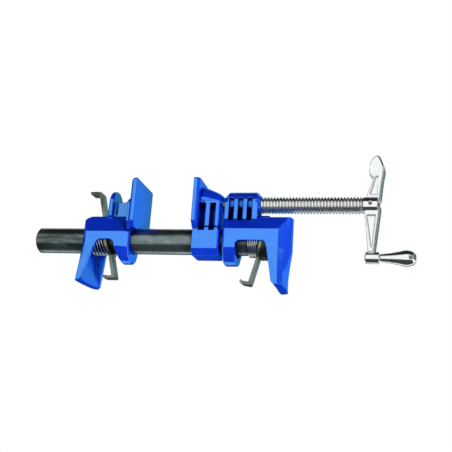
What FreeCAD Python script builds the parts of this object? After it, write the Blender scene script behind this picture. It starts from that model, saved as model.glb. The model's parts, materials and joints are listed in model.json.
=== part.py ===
"""Pipe clamp for woodworking: a steel pipe, a sliding tail jaw, a fixed head with an acme
screw, a jaw driven by the screw, and two spring-loaded clutches that grip the pipe.

Frame: +X runs along the pipe from the tail to the head, +Z points up from the soles of the
two feet, Y = 0 is the plane of symmetry. The origin is the middle of the box at the soles.
"""
import FreeCAD, Part
import math
import os
import re

import Sketcher

V = FreeCAD.Vector
doc = FreeCAD.newDocument("PipeClamp")

# ---------------------------------------------------------------- sizes (millimetres, degrees)
SIZES = {
    # pipe: three-quarter inch gas pipe
    "pipe_od": 26.67,
    "pipe_wall": 2.87,
    "pipe_length": 254.0,
    "pipe_edge": 1.4,
    "pipe_clear": 0.3,
    "axis_height": 46.7,
    # where the pieces stand along the pipe
    "head_x": 8.0,
    "pipe_seat": 51.3,
    "jaw_rest_gap": 3.3,
    "jaw_opening": 60.5,
    # the two pressing plates
    "plate_width": 53.5,
    "plate_top": 61.5,
    "plate_thick": 5.8,
    "plate_foot": 12.0,
    "plate_corner": 1.6,
    "plate_chamfer": 2.2,
    # housings of both castings
    "room_clear": 1.165,
    "body_wall": 2.9,
    "body_crease": 9.3,
    "body_top": 24.3,
    "body_top_half": 11.5,
    "ridge_round": 3.0,
    "foot_wall": 3.7,
    "top_wall": 4.2,
    "hollow_top_half": 10.2,
    "collar_drop": 24.5,
    "collar_half": 13.5,
    "collar_side": 19.6,
    "arch_crown": 2.0,
    "foot_half": 28.0,
    "foot_bevel": 4.5,
    # tail casting, measured outwards from its pressing face
    "tail_collar": 6.0,
    "tail_collar_taper": 3.0,
    "tail_collar_round": 2.0,
    "tail_shoulder": 5.8,
    "tail_panel": 14.7,
    "tail_arch": 21.0,
    "tail_arch_round": 6.5,
    "tail_slant": 6.0,
    "tail_leg": 42.5,
    "tail_leg_foot": 49.0,
    "tail_panel_end": 52.5,
    "tail_end": 56.5,
    "tail_bulge": 2.6,
    "tail_roof_round": 12.5,
    "tail_sole_panel_end": 54.0,
    "tail_sole_end": 56.5,
    "tail_sole_bulge": 1.5,
    "ear_half": 15.0,
    "ear_rise": 38.6,
    "ear_near": 27.8,
    "ear_thick": 5.0,
    "ear_edge": 1.8,
    "neck_half": 9.5,
    "neck_top": 39.5,
    "neck_groove_at": 23.5,
    "neck_groove": 2.0,
    "neck_groove_depth": 1.2,
    "gusset_half": 5.0,
    # head casting, measured outwards from its inner face
    "head_shoulder": 9.5,
    "head_collar_round": 3.0,
    "head_arch": 13.7,
    "head_recess": 7.5,
    "head_arch_round": 4.5,
    "head_slant": 1.0,
    "head_leg": 45.2,
    "head_leg_foot": 52.2,
    "head_panel_end": 56.2,
    "head_end": 61.8,
    "head_bulge": 6.6,
    "head_roof_round": 10.5,
    "head_sole_panel_end": 58.3,
    "head_sole_end": 62.6,
    "head_sole_bulge": 0.5,
    "barrel_overhang": 1.5,
    "barrel_end": 35.2,
    "barrel_radius": 13.3,
    "barrel_chamfer": 4.2,
    "slot_width": 5.4,
    "slot_wall": 1.7,
    "slot_reach": 24.0,
    "slot_first": 6.6,
    "slot_step": 9.3,
    "slot_below": 62.0,
    "slot_above": 20.0,
    # clutches
    "lever_thick": 3.0,
    "lever_width": 13.0,
    "ring_clear": 0.4,
    "ring_flat": 3.0,
    "ring_up": 17.4,
    "ring_down": 18.4,
    "clutch_tilt": 15.0,
    "grip_clear": 0.1,
    "stack_gap": 0.05,
    "tail_lever_at": 33.2,
    "tail_lever_up": 54.4,
    "tail_lever_down": 41.6,
    "tail_tab": 10.5,
    "head_lever_at": 39.3,
    "head_lever_down": 45.6,
    "head_tab": 10.0,
    "tab_lip": 1.3,
    "head_seat": 24.6,
    "lever_clear": 0.6,
    "spring_wire": 1.5,
    "spring_clear": 0.6,
    "spring_coils": 5.0,
    # sliding jaw, measured outwards from its pressing face
    "jaw_length": 27.5,
    "jaw_ring_half": 18.4,
    "jaw_ring_drop": 16.7,
    "jaw_ring_flat": 11.4,
    "jaw_ring_round": 2.4,
    "jaw_shoulder": 10.5,
    "jaw_rib_half": 17.2,
    "jaw_web_half": 12.0,
    "jaw_bar_from": 6.5,
    "jaw_bar_low": 36.9,
    "jaw_bar_high": 39.5,
    "jaw_rib_middle": 14.2,
    "jaw_rib_thick": 4.3,
    "jaw_rib_back": 22.3,
    "jaw_rib_end": 25.8,
    "jaw_pocket_floor": 8.5,
    "jaw_pocket_foot": 7.2,
    "jaw_pocket_slope": 7.5,
    "jaw_cone_root": 18.6,
    "jaw_boss_radius": 12.3,
    # screw, crank and knob
    "screw_rise": 39.1,
    "screw_dia": 17.0,
    "screw_clear": 0.06,
    "thread_pitch": 3.175,
    "thread_depth": 1.6,
    "journal_dia": 11.0,
    "journal_clear": 0.3,
    "groove_dia": 8.0,
    "socket_floor": 9.0,
    "retainer_dia": 3.0,
    "retainer_at": 17.5,
    "retainer_near": 6.5,
    "retainer_far": 8.2,
    "fit_clear": 0.03,
    "screw_out": 100.9,
    "hub_dia": 16.6,
    "hub_length": 14.2,
    "spigot_dia": 10.0,
    "hub_pin_dia": 3.2,
    "crank_reach": 52.8,
    "arm_half": 5.2,
    "arm_web_half": 1.9,
    "arm_round": 3.4,
    "arm_rail": 2.0,
    "arm_foot": 7.8,
    "paddle_top": 50.4,
    "paddle_heel": 30.5,
    "paddle_right": 14.8,
    "boss_dia": 11.8,
    "boss_length": 13.0,
    "knob_gap": 0.3,
    "knob_length": 34.1,
    "knob_neck_dia": 7.8,
    "knob_dia": 16.0,
    "spindle_dia": 4.6,
    "spindle_head": 7.0,
    "spindle_head_thick": 1.1,
    "spin_clear": 0.1,
}

# lengths that follow from the sizes, in the part's frame where the name ends in _x or _z
DERIVED = {
    "tail_x": "head_x - jaw_rest_gap - jaw_length - jaw_opening",
    "jaw_x": "head_x - jaw_rest_gap - jaw_length",
    "screw_x": "jaw_x + socket_floor + 0.5",
    "hub_x": "head_x + barrel_end + screw_out",
    "knob_x": "hub_x + 3 + boss_length + knob_gap",
    "knob_z": "axis_height + screw_rise - crank_reach",
    "tail_lever_x": "tail_x - tail_lever_at",
    "head_lever_x": "head_x + head_lever_at",
    "bore_dia": "pipe_od + 2 * pipe_clear",
    "grip_dia": "(pipe_od + lever_thick * sin(clutch_tilt * 1 deg) + grip_clear)"
                " / cos(clutch_tilt * 1 deg)",
    "spring_radius": "pipe_od / 2 + spring_clear + spring_wire / 2",
    "room_half": "spring_radius + spring_wire / 2 + room_clear",
    "body_half": "room_half + body_wall",
    "ring_half": "room_half - ring_clear",
    "tail_tip": "tail_end + tail_bulge",
    "head_tip": "head_end + head_bulge",
    "tail_hollow_end": "tail_panel_end - foot_wall + 1",
    "head_hollow_end": "head_panel_end - foot_wall + 1",
    "retainer_off": "groove_dia / 2 + retainer_dia / 2 + fit_clear",
}

sheet = doc.addObject("Spreadsheet::Sheet", "Sizes")
for row, (alias, number) in enumerate(SIZES.items(), 1):
    sheet.set("A%d" % row, alias)
    sheet.set("B%d" % row, repr(number))
    sheet.setAlias("B%d" % row, alias)
doc.recompute()


def bound(text):
    """An expression in which every size by its name is the sheet's cell."""
    def cell(match):
        name = match.group(0)
        if name in DERIVED:
            return "(%s)" % bound(DERIVED[name])
        return "Sizes." + name if name in SIZES else name
    return re.sub(r"[a-z][a-z0-9_]*", cell, text)


def value(text):
    result = sheet.evalExpression(bound(text))
    return float(getattr(result, "Value", result))


# ---------------------------------------------------------------- sketch and feature helpers
def origin_item(body, role):
    return [item for item in body.Origin.OriginFeatures if item.Role == role][0]


def new_body(name, x="0", z="axis_height", turn=None):
    body = doc.addObject("PartDesign::Body", name)
    body.Label = name
    body.setExpression("Placement.Base.x", bound(x))
    body.setExpression("Placement.Base.z", bound(z))
    if turn:
        body.Placement.Rotation = FreeCAD.Rotation(V(0, 1, 0), 1)
        body.setExpression("Placement.Rotation.Angle", bound(turn))
    return body


def new_sketch(body, name, role, level="0", up=None):
    """An empty sketch on one of the body's own planes, `level` along the plane's normal and
    `up` along its second direction."""
    sketch = body.newObject("Sketcher::SketchObject", name)
    sketch.AttachmentSupport = [(origin_item(body, role), "")]
    sketch.MapMode = "FlatFace"
    sketch.setExpression("AttachmentOffset.Base.z", bound(level))
    if up:
        sketch.setExpression("AttachmentOffset.Base.y", bound(up))
    return sketch


def fix_point(sketch, geometry, which, x, y):
    for kind, text in (("DistanceX", x), ("DistanceY", y)):
        index = sketch.addConstraint(
            Sketcher.Constraint(kind, -1, 1, geometry, which, value(text)))
        sketch.setExpression("Constraints[%d]" % index, bound(text))


def add_outline(sketch, points):
    """A closed outline. A point is (x, y); (x, y, "arc") is passed through by an arc that
    joins the points on either side of it."""
    corners = [i for i, point in enumerate(points) if len(point) == 2]
    first = sketch.GeometryCount
    middles = []
    for order, i in enumerate(corners):
        j = corners[(order + 1) % len(corners)]
        start = V(value(points[i][0]), value(points[i][1]), 0)
        end = V(value(points[j][0]), value(points[j][1]), 0)
        if (i + 1) % len(points) == j:
            sketch.addGeometry(Part.LineSegment(start, end))
            continue
        middle = points[i + 1]
        through = V(value(middle[0]), value(middle[1]), 0)
        arc = Part.Arc(start, through, end)
        index = sketch.addGeometry(arc)
        # Sketcher keeps its arcs anticlockwise, so an arc may run from end to start
        swapped = sketch.getPoint(index, 1).distanceToPoint(start) > 1e-6
        middles.append((index, middle, swapped))
    count = len(corners)
    flipped = {index for index, _, swapped in middles if swapped}
    for order in range(count):
        here = first + order
        following = first + (order + 1) % count
        end_of_here = 1 if here in flipped else 2
        start_of_next = 2 if following in flipped else 1
        sketch.addConstraint(
            Sketcher.Constraint("Coincident", here, end_of_here, following, start_of_next))
    for order, i in enumerate(corners):
        here = first + order
        fix_point(sketch, here, 2 if here in flipped else 1, *points[i])
    for index, middle, _ in middles:
        spot = sketch.addGeometry(
            Part.Point(V(value(middle[0]), value(middle[1]), 0)), True)
        fix_point(sketch, spot, 1, middle[0], middle[1])
        sketch.addConstraint(Sketcher.Constraint("PointOnObject", spot, 1, index))


def outline(body, name, role, points, level="0", up=None):
    sketch = new_sketch(body, name, role, level, up)
    add_outline(sketch, points)
    return sketch


def circle(body, name, role, x, y, diameter, level="0"):
    sketch = new_sketch(body, name, role, level)
    index = sketch.addGeometry(
        Part.Circle(V(value(x), value(y), 0), V(0, 0, 1), value(diameter) / 2))
    fix_point(sketch, index, 3, x, y)
    size = sketch.addConstraint(Sketcher.Constraint("Diameter", index, value(diameter)))
    sketch.setExpression("Constraints[%d]" % size, bound(diameter))
    return sketch


def pad(sketch, name, length, back=False, both=False):
    body = sketch.getParentGeoFeatureGroup()
    feature = body.newObject("PartDesign::Pad", name)
    feature.Profile = sketch
    feature.setExpression("Length", bound(length))
    feature.Reversed = back
    feature.Midplane = both
    return feature


def pocket(sketch, name, length, back=False, both=False):
    """A pocket that has to take something away; `back` cuts along the sketch's normal."""
    body = sketch.getParentGeoFeatureGroup()
    doc.recompute()
    before = body.Shape.Volume
    feature = body.newObject("PartDesign::Pocket", name)
    feature.Profile = sketch
    feature.setExpression("Length", bound(length))
    feature.Reversed = back
    feature.Midplane = both
    doc.recompute()
    if not body.Shape.Volume < before - 1e-6:
        raise ValueError("%s cuts nothing" % name)
    return feature


def turned(sketch, name, kind="PartDesign::Revolution"):
    """A full turn about the sketch's own horizontal axis."""
    body = sketch.getParentGeoFeatureGroup()
    feature = body.newObject(kind, name)
    feature.Profile = sketch
    feature.ReferenceAxis = (sketch, ["H_Axis"])
    feature.Angle = 360
    return feature


def loft(kind, body, name, low, high):
    feature = body.newObject(kind, name)
    feature.Profile = low
    feature.Sections = [high]
    feature.Ruled = True
    return feature


def dress(kind, body, name, size, wanted):
    """A fillet or chamfer on the edges of the body's tip for which wanted(edge) is true."""
    doc.recompute()
    base = body.Tip
    edges = ["Edge%d" % i for i, edge in enumerate(base.Shape.Edges, 1) if wanted(edge)]
    if not edges:
        raise ValueError("%s finds no edge" % name)
    feature = body.newObject(kind, name)
    feature.Base = (base, edges)
    feature.setExpression("Radius" if kind.endswith("Fillet") else "Size", bound(size))
    doc.recompute()
    return feature


def mirrored(points):
    """An outline symmetric about its first coordinate: the given half, then its mirror."""
    half = [("-(%s)" % p[0],) + tuple(p[1:]) for p in reversed(points)]
    return list(points) + half


# ---------------------------------------------------------------- pipe
pipe = new_body("pipe", "head_x + pipe_seat - pipe_length")
pad(circle(pipe, "PipeOutside", "YZ_Plane", "0", "0", "pipe_od"), "PipeRound", "pipe_length")
pocket(circle(pipe, "PipeInside", "YZ_Plane", "0", "0", "pipe_od - 2 * pipe_wall"),
       "PipeBore", "pipe_length", back=True)
dress("PartDesign::Chamfer", pipe, "PipeEdges", "pipe_edge",
      lambda e: abs(e.BoundBox.YLength - value("pipe_od")) < 1e-3 and e.BoundBox.XLength < 1e-3)


# ---------------------------------------------------------------- housing of a clamp casting
def box_half(word, taper="0"):
    """One side of the box's section, from the rounded ridge of the roof to the crease."""
    ridge, side = "(body_top_half - %s)" % taper, "(body_half - %s)" % taper
    share = "ridge_round / (body_top - %s_shoulder)" % word
    return [(ridge + " - ridge_round", "body_top"),
            (ridge + " - ridge_round * 0.13", "body_top - ridge_round * 0.24", "arc"),
            ("%s + (%s - %s) * %s" % (ridge, side, ridge, share), "body_top - ridge_round"),
            (side, word + "_shoulder"), (side, "-body_crease")]


def collar_section(body, name, word, level, taper="0"):
    """The section round the pipe with its rounded underside, narrower by `taper` all round."""
    half = box_half(word, taper) + [("collar_half - %s / 2" % taper, "-collar_side")]
    points = mirrored(half)
    points.insert(len(half), ("0", "-collar_drop", "arc"))
    return outline(body, name, "YZ_Plane", points, level)


def foot_plan(body, name, side, level, half, inner, corner, shoulder, tip):
    """The foot seen from above at one level: straight on the inside, and on the outside a
    bevel from `corner` to `shoulder` at each end and a bow out to `tip` between them."""
    near = [(half, inner), (half, corner), ("(%s) - foot_bevel" % half, shoulder)]
    points = [("%s(%s)" % (side, x), y) for y, x in near]
    points.append(("%s(%s)" % (side, tip), "0", "arc"))
    points += [("%s(%s)" % (side, x), "-(%s)" % y) for y, x in reversed(near)]
    return outline(body, name, "XY_Plane", points, level)


def housing(body, side, word, collar_from):
    """The box over the pipe and its foot, which flares from the box's width to the sole's.
    `side` is "" when the casting runs towards +X from its own origin and "-" when it runs
    towards -X; `word` picks the casting's own sizes."""
    away = side == "-"

    def out(text):
        return "%s(%s)" % (side, text)

    arch, end, tip, panel_end = (word + name for name in ("_arch", "_end", "_tip", "_panel_end"))
    sole = word + "_sole"
    pad(collar_section(body, "CollarSection", word, out(collar_from)), "Collar",
        "%s - (%s)" % (arch, collar_from), back=away)
    pad(outline(body, "BoxSection", "YZ_Plane", mirrored(box_half(word)),
                out(arch + " - 0.5")), "Box", "%s - %s + 0.5" % (tip, arch), back=away)

    # the outer end of the box seen from above: a bevel at each side and a bow between them
    corner = mirrored([("body_half", panel_end), ("body_half - foot_bevel", end)])
    end_cut = [(out(x), y) for y, x in corner[:2]]
    end_cut.append((out(tip), "0", "arc"))
    end_cut += [(out(x), y) for y, x in corner[2:]]
    end_cut += [(out(panel_end), "-(body_half + 5)"), (out(tip + " + 5"), "-(body_half + 5)"),
                (out(tip + " + 5"), "body_half + 5"), (out(panel_end), "body_half + 5")]
    pocket(outline(body, "EndPlan", "XY_Plane", end_cut, "-(body_crease + 5)"), "EndBow",
           "body_top + body_crease + 10", back=True)
    loft("PartDesign::AdditiveLoft", body, "Foot",
         foot_plan(body, "FootTop", side, "-body_crease", "body_half", word + "_leg",
                   panel_end, end, tip),
         foot_plan(body, "FootSole", side, "-axis_height", "foot_half", word + "_leg_foot",
                   sole + "_panel_end", sole + "_end", "%s_end + %s_bulge" % (sole, sole)))
    doc.recompute()


def hollow_out(body, side, word, high_from):
    """The casting's inside: the trough on the foot's inner side, the room round the clutch,
    which reaches up to the roof from `high_from` on, the arch through both side walls and
    the rounded outer end of the roof."""
    away = side == "-"

    def out(text):
        return "%s(%s)" % (side, text)

    arch, leg, leg_foot, end, tip, panel_end, slant, hollow_end = (
        word + name for name in ("_arch", "_leg", "_leg_foot", "_end", "_tip", "_panel_end",
                                 "_slant", "_hollow_end"))
    # deep below the box and shallow at the sole, which stays closed
    loft("PartDesign::SubtractiveLoft", body, "Trough",
         foot_plan(body, "TroughTop", side, "-body_crease + 0.5", "body_half - foot_wall",
                   leg + " - 4", panel_end + " - foot_wall / 2", end + " - foot_wall",
                   tip + " - foot_wall * 1.3"),
         foot_plan(body, "TroughSole", side, "-axis_height", "foot_half - foot_wall",
                   leg_foot + " - 4", leg_foot + " + 0.6", leg_foot + " + 1.2",
                   leg_foot + " + 1.7"))
    doc.recompute()
    for name, start, inside in (
            ("HollowLow", arch, [("room_half", "-(collar_drop + 5)"), ("room_half", "1")]),
            ("HollowHigh", high_from, [("room_half", "0.5"),
                                       ("room_half", word + "_shoulder - 0.8"),
                                       ("hollow_top_half", "body_top - top_wall")])):
        pocket(outline(body, name + "Section", "YZ_Plane", mirrored(inside), out(start)),
               name, "%s - %s" % (hollow_end, start), back=not away)

    # the arch, which also slants the collar's underside and trims the foot's inner edges
    curve = word + "_arch_round"
    inset = curve + " * 0.293"
    arch_cut = [("%s - %s" % (arch, slant), "-axis_height - 5"),
                ("%s - %s" % (arch, slant), "-collar_drop"), (arch, "-body_crease"),
                (arch, "-(arch_crown + %s)" % curve),
                ("%s + %s" % (arch, inset), "-(arch_crown + %s)" % inset, "arc"),
                ("%s + %s" % (arch, curve), "-arch_crown"),
                ("%s - %s - 1" % (leg, curve), "-arch_crown"),
                ("%s - %s - 1" % (leg, inset), "-(arch_crown + %s)" % inset, "arc"),
                (leg + " - 1", "-(arch_crown + %s)" % curve), (leg, "-body_crease"),
                (leg_foot, "-axis_height + 2.6"), (leg_foot + " + 2.6", "-axis_height"),
                (leg_foot + " + 2.6", "-axis_height - 5")]
    pocket(outline(body, "ArchProfile", "XZ_Plane",
                   [(out(point[0]),) + point[1:] for point in arch_cut]), "Arch",
           "2 * foot_half + 10", both=True)
    curve = word + "_roof_round"
    roof = [("%s - %s" % (tip, curve), "body_top"),
            ("%s - %s * 0.293" % (tip, curve), "body_top - %s * 0.293" % curve, "arc"),
            (tip, "body_top - %s" % curve), (tip + " + 3", "body_top - %s" % curve),
            (tip + " + 3", "body_top + 3"), ("%s - %s" % (tip, curve), "body_top + 3")]
    pocket(outline(body, "RoofProfile", "XZ_Plane",
                   [(out(point[0]),) + point[1:] for point in roof]), "RoofEnd",
           "2 * foot_half", both=True)


def at_plane(level, low="-axis_height", high="plate_top"):
    """Picks the edges that lie in the plane X = level with their middle between two heights."""
    return lambda e: (e.BoundBox.XLength < 1e-3 and abs(e.CenterOfMass.x - value(level)) < 1e-3
                      and value(low) < e.CenterOfMass.z < value(high))


# ---------------------------------------------------------------- tail casting
tail = new_body("tail_casting", "tail_x")
housing(tail, "-", "tail", "tail_panel")
loft("PartDesign::AdditiveLoft", tail, "CollarNose",
     collar_section(tail, "NoseBack", "tail", "-tail_panel"),
     collar_section(tail, "NoseFront", "tail", "-tail_collar", "tail_collar_taper"))
dress("PartDesign::Fillet", tail, "NoseRound", "tail_collar_round",
      at_plane("-tail_collar", "-axis_height", "tail_shoulder"))
plate_half = [("plate_width / 2 - plate_corner", "plate_top"),
              ("plate_width / 2", "plate_top - plate_corner"),
              ("plate_width / 2", "plate_foot + 4"),
              ("plate_width / 2 - 6", "plate_foot - 2")]
pad(outline(tail, "PlateFace", "YZ_Plane", mirrored(plate_half)), "Plate",
    "plate_thick", back=True)
dress("PartDesign::Chamfer", tail, "PlateEdges", "plate_chamfer",
      at_plane("-plate_thick", "plate_foot + 5"))
# ear in front of the clutch lever, a round-topped wall across the casting
ear = [("-body_top_half", "body_top - ridge_round"), ("body_top_half", "body_top - ridge_round"),
       ("ear_half", "body_top"), ("ear_half", "ear_rise"),
       ("0", "ear_rise + ear_half", "arc"), ("-ear_half", "ear_rise"),
       ("-ear_half", "body_top")]
pad(outline(tail, "EarOutline", "YZ_Plane", ear, "-ear_near"), "Ear", "ear_thick", back=True)
dress("PartDesign::Fillet", tail, "EarEdges", "ear_edge",
      lambda e: at_plane("-ear_near", "body_top + 1")(e)
      or at_plane("-(ear_near + ear_thick)", "body_top + 1")(e))
# neck between ear and plate, and the curved gusset that carries the plate's back
pad(outline(tail, "NeckSection", "YZ_Plane",
            mirrored([("neck_half", "neck_top"), ("neck_half + 1.5", "body_top - 2")]),
            "-plate_thick + 0.5"), "Neck", "ear_near - plate_thick + 1", back=True)
gusset = [("-(ear_near - 8)", "neck_top - 2"), ("-plate_thick + 0.5", "neck_top - 2"),
          ("-plate_thick + 0.5", "plate_top - 3"), ("-(plate_thick + 3)", "plate_top - 4"),
          ("-(plate_thick + 6.5)", "plate_top - 14", "arc"), ("-(ear_near - 8)", "neck_top")]
pad(outline(tail, "GussetProfile", "XZ_Plane", gusset), "Gusset", "2 * gusset_half", both=True)
groove = mirrored([("neck_half - neck_groove_depth", "body_top + 1"),
                   ("neck_half - neck_groove_depth", "neck_top + 1"),
                   ("neck_half + 4", "neck_top + 1"), ("neck_half + 4", "body_top + 1")])
groove_sketch = new_sketch(tail, "NeckGrooveSection", "YZ_Plane", "-neck_groove_at")
add_outline(groove_sketch, groove[:4])
add_outline(groove_sketch, groove[4:])
pocket(groove_sketch, "NeckGroove", "neck_groove")
# flanks that spread from the box to the full width of the plate
flank = mirrored([("plate_width / 2 - 5", "plate_top - 22"),
                  ("plate_width / 2 - 2.5", "plate_top - 26"),
                  ("plate_width / 2 - 2.5", "plate_foot + 4"),
                  ("body_half", "plate_foot - 4")])
pad(outline(tail, "FlankSection", "YZ_Plane", flank, "-plate_thick + 0.5"), "Flank",
    "3", back=True)
hollow_out(tail, "-", "tail", "tail_arch")
pocket(circle(tail, "TailBoreCircle", "YZ_Plane", "0", "0", "bore_dia", "1"), "TailBore",
       "tail_tip + 5")
slot_low = ("tail_lever_at + (body_top - top_wall) * tan((clutch_tilt - 10) * 1 deg)"
            " - lever_thick / 2 - lever_clear")
slot_high = ("tail_lever_at + body_top * tan(clutch_tilt * 1 deg) + lever_thick / 2"
             " + lever_clear")
slot = [("-(%s)" % slot_low, "lever_width / 2 + lever_clear"),
        ("-(%s)" % slot_high, "lever_width / 2 + lever_clear"),
        ("-(%s)" % slot_high, "-(lever_width / 2 + lever_clear)"),
        ("-(%s)" % slot_low, "-(lever_width / 2 + lever_clear)")]
pocket(outline(tail, "LeverSlotPlan", "XY_Plane", slot, "tail_shoulder"), "LeverSlot",
       "body_top - tail_shoulder + 1", back=True)

# ---------------------------------------------------------------- head casting
head = new_body("head_casting", "head_x")
housing(head, "", "head", "0")
barrel = [("-barrel_overhang", "0"), ("-barrel_overhang", "barrel_radius - barrel_chamfer"),
          ("-barrel_overhang + barrel_chamfer", "barrel_radius"),
          ("barrel_end - barrel_chamfer", "barrel_radius"),
          ("barrel_end", "barrel_radius - barrel_chamfer"), ("barrel_end", "0")]
dress("PartDesign::Fillet", head, "CollarRound", "head_collar_round",
      at_plane("0", "-axis_height", "head_shoulder"))
neck = mirrored([("barrel_radius", "screw_rise"), ("barrel_radius", "head_shoulder + 12"),
                 ("body_half - 2", "head_shoulder + 1")])
pad(outline(head, "BarrelNeckSection", "YZ_Plane", neck), "BarrelNeck", "barrel_end - 2")
turned(outline(head, "BarrelProfile", "XZ_Plane", barrel, up="screw_rise"), "Barrel")
pad(outline(head, "LedgeSection", "YZ_Plane",
            mirrored([("body_top_half - ridge_round", "body_top + 1.6"),
                      ("body_top_half - ridge_round + 1", "body_top - 1")]), "barrel_end - 3"),
    "Ledge", "13")
hollow_out(head, "", "head", "head_seat")
# the room runs on below the axis into the collar, as a recess round the pipe
pocket(outline(head, "CollarRecessSection", "YZ_Plane",
               [("-room_half", "0.5"), ("-room_half", "0"), ("0", "-room_half", "arc"),
                ("room_half", "0"), ("room_half", "0.5")], "head_arch + 1"),
       "CollarRecess", "head_recess + 1")
# three slots a side, cut round the barrel's axis, leave ribs between them
SLOT_SWEEP = "slot_below + slot_above"
for word, tilt in (("Near", "90 + (slot_below - slot_above) / 2"),
                   ("Far", "-90 - (slot_below - slot_above) / 2")):
    slots = new_sketch(head, "Slots" + word, "XZ_Plane", up="screw_rise")
    slots.AttachmentOffset = FreeCAD.Placement(slots.AttachmentOffset.Base,
                                               FreeCAD.Rotation(V(1, 0, 0), 1))
    slots.setExpression("AttachmentOffset.Rotation.Angle", bound(tilt))
    for number in range(3):
        middle = "slot_first + slot_step * %d" % number
        low, high = middle + " - slot_width / 2", middle + " + slot_width / 2"
        inner, outer = "screw_dia / 2 + slot_wall", "slot_reach"
        add_outline(slots, [(low, inner), (high, inner), (high, outer), (low, outer)])
    doc.recompute()
    before = head.Shape.Volume
    cut = turned(slots, "SlotCut" + word, "PartDesign::Groove")
    cut.Midplane = True
    cut.setExpression("Angle", bound(SLOT_SWEEP))
    doc.recompute()
    if not head.Shape.Volume < before - 1:
        raise ValueError("the barrel's slots cut nothing")
pocket(circle(head, "NutCircle", "YZ_Plane", "0", "screw_rise", "screw_dia + 2 * screw_clear",
              "-(barrel_overhang + 1)"), "NutBore", "barrel_end + barrel_overhang + 2",
       back=True)
pocket(circle(head, "HeadBoreCircle", "YZ_Plane", "0", "0", "bore_dia", "-1"),
       "HeadBore", "head_panel_end - foot_wall", back=True)

# ---------------------------------------------------------------- sliding jaw
jaw = new_body("sliding_jaw", "jaw_x")
ring = mirrored([("jaw_web_half", "body_top"), ("jaw_ring_half", "jaw_shoulder"),
                 ("jaw_ring_half", "-jaw_shoulder"), ("jaw_ring_flat", "-jaw_ring_drop")])
pad(outline(jaw, "JawRingSection", "YZ_Plane", ring), "JawRing", "jaw_length")
dress("PartDesign::Fillet", jaw, "JawRingRound", "jaw_ring_round",
      at_plane("jaw_length", "-axis_height", "jaw_shoulder"))
pad(outline(jaw, "JawPlateFace", "YZ_Plane", mirrored(plate_half)), "JawPlate",
    "plate_thick")
dress("PartDesign::Chamfer", jaw, "JawPlateEdges", "plate_chamfer",
      at_plane("plate_thick", "plate_foot + 5"))
pad(outline(jaw, "JawWebSection", "YZ_Plane",
            mirrored([("jaw_web_half", "screw_rise"), ("jaw_web_half", "0")])), "JawWeb",
    "jaw_length")
cone = [("1", "0"), ("1", "jaw_cone_root"), ("plate_thick + 2", "jaw_cone_root"),
        ("jaw_length - 5", "jaw_boss_radius"), ("jaw_length", "jaw_boss_radius - 4"),
        ("jaw_length", "0")]
turned(outline(jaw, "JawBossProfile", "XZ_Plane", cone, up="screw_rise"), "JawBoss")
# pockets on both sides, whose floors slope down and out to the ring's flanks
for name, start, end in (
        ("Front", "plate_thick", "jaw_rib_middle - jaw_rib_thick / 2"),
        ("Rear", "jaw_rib_middle + jaw_rib_thick / 2", "jaw_rib_back"),
        ("Back", "jaw_rib_end", "jaw_length + 1")):
    side = mirrored([("jaw_cone_root + 1", "jaw_pocket_foot"),
                     ("jaw_pocket_floor", "jaw_pocket_foot + jaw_pocket_slope"),
                     ("jaw_pocket_floor", "jaw_bar_low"), ("jaw_cone_root + 1", "jaw_bar_low")])
    sides = new_sketch(jaw, "Pockets%sSection" % name, "YZ_Plane", start)
    add_outline(sides, side[:4])
    add_outline(sides, side[4:])
    pocket(sides, "Pockets" + name, "%s - (%s)" % (end, start), back=True)
# a bar along the top of the pockets, and the ribs that stand between them
for name, start, end, low, high in (
        ("Bar", "jaw_bar_from", "jaw_rib_end", "jaw_bar_low", "jaw_bar_high"),
        ("Middle", "jaw_rib_middle - jaw_rib_thick / 2", "jaw_rib_middle + jaw_rib_thick / 2",
         "0", "jaw_bar_high"),
        ("Back", "jaw_rib_back", "jaw_rib_end", "0", "jaw_bar_high")):
    pad(outline(jaw, "Rib%sProfile" % name, "XZ_Plane",
                [(start, low), (end, low), (end, high), (start, high)]), "Rib" + name,
        "2 * jaw_rib_half", both=True)
pocket(circle(jaw, "JawBoreCircle", "YZ_Plane", "0", "0", "bore_dia", "-1"),
       "JawBore", "jaw_length + 2", back=True)
pocket(circle(jaw, "SocketCircle", "YZ_Plane", "0", "screw_rise",
              "journal_dia + 2 * journal_clear", "socket_floor"), "Socket",
       "jaw_length", back=True)
# blind holes for the two cross pins, drilled from the far side
retainers = new_sketch(jaw, "RetainerHoles", "XZ_Plane", "retainer_near + 0.2")
for sign in ("+", "-"):
    hole = retainers.addGeometry(Part.Circle(V(0, 0, 0), V(0, 0, 1), 1))
    fix_point(retainers, hole, 3, "retainer_at", "screw_rise %s retainer_off" % sign)
    size = retainers.addConstraint(Sketcher.Constraint("Diameter", hole, 3))
    retainers.setExpression("Constraints[%d]" % size, bound("retainer_dia + 2 * fit_clear"))
pocket(retainers, "RetainerCut", "retainer_near + jaw_cone_root")

# the two cross pins that hold the end of the screw in the jaw
for number, sign in enumerate(("+", "-")):
    pin = doc.addObject("Part::Cylinder", "RetainingPin%d" % number)
    pin.setExpression("Radius", bound("retainer_dia / 2"))
    pin.setExpression("Height", bound("retainer_near + retainer_far"))
    pin.Placement = FreeCAD.Placement(V(0, 0, 0), FreeCAD.Rotation(V(1, 0, 0), 90))
    pin.setExpression("Placement.Base.x", bound("jaw_x + retainer_at"))
    pin.setExpression("Placement.Base.y", bound("retainer_far"))
    pin.setExpression("Placement.Base.z",
                      bound("axis_height + screw_rise %s retainer_off" % sign))
pins = doc.addObject("Part::Compound", "screw_retaining_pins")
pins.Label = "screw_retaining_pins"
pins.Links = [doc.getObject("RetainingPin0"), doc.getObject("RetainingPin1")]

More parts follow.
